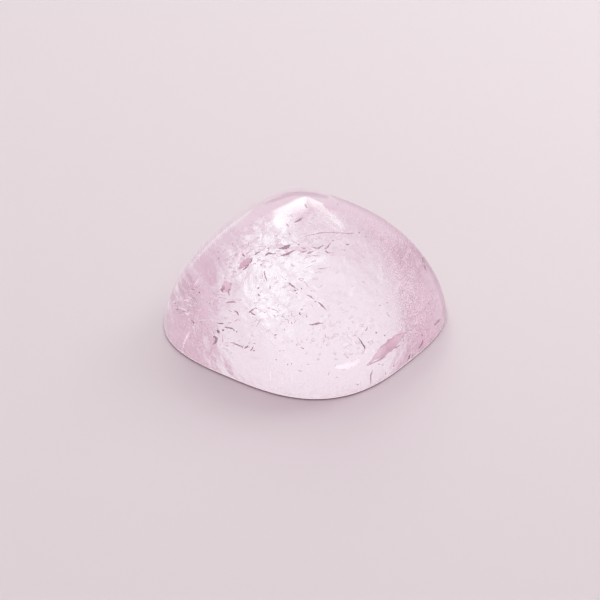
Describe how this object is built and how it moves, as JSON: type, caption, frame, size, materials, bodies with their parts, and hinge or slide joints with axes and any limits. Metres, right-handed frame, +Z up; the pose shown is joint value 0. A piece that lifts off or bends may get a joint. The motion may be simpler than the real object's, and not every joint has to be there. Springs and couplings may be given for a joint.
{
  "type": "morganite cabochon",
  "caption": "Polished sugarloaf cabochon of pale pink morganite on a square cushion base, clear with fine natural inclusions, resting on its flat base.",
  "frame": {"origin": "centre of the flat base, on the surface that the stone rests on", "axes": "+Z up through the tip of the dome; the four sides of the cushion face +X, +Y, -X and -Y"},
  "size_m": [0.012, 0.012, 0.0063],
  "materials": {
    "morganite": "polished",
    "inclusion": "matte"
  },
  "bodies": {
    "root": {"cabochon": "morganite"}
  },
  "joints": []
}
